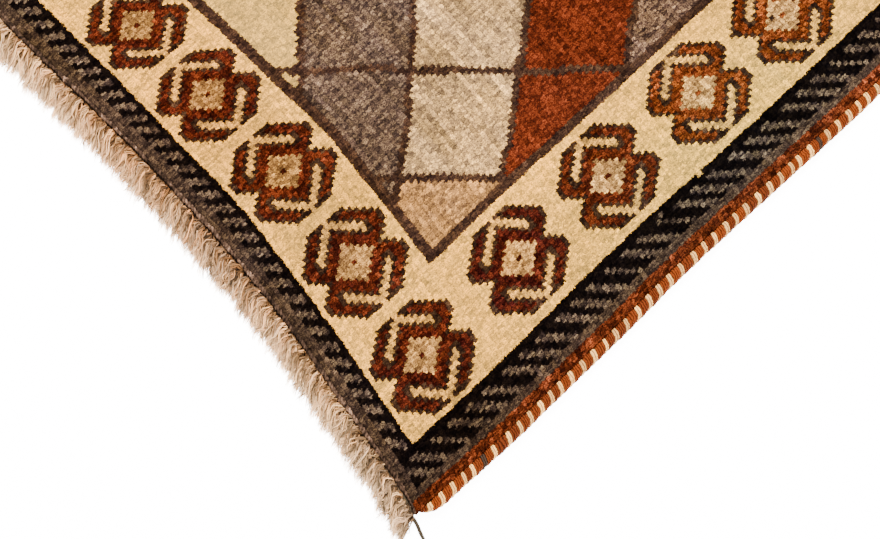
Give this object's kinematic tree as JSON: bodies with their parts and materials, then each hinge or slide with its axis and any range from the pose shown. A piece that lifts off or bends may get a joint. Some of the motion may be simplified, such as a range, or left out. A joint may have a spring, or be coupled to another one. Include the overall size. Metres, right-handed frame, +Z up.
{
  "type": "gabbeh rug",
  "caption": "Hand-knotted wool gabbeh rug lying flat, with a lozenge field, rosette borders, overcast side cords and a short fringe at each end.",
  "frame": {"origin": "middle of the whole rug's box, on the floor under it", "axes": "+Y along the rug's length towards the end away from the picture's corner, +X across it towards the long side in the picture, +Z up out of the pile"},
  "size_m": [0.8196, 1.2632, 0.009],
  "materials": {
    "pile": "matte wool pile",
    "selvedge": "matte wrapped wool",
    "fringe": "matte loose wool"
  },
  "bodies": {
    "root": {"pile": "pile", "selvedge_right": "selvedge", "selvedge_left": "selvedge", "fringe_near": "fringe", "fringe_far": "fringe"}
  },
  "joints": []
}
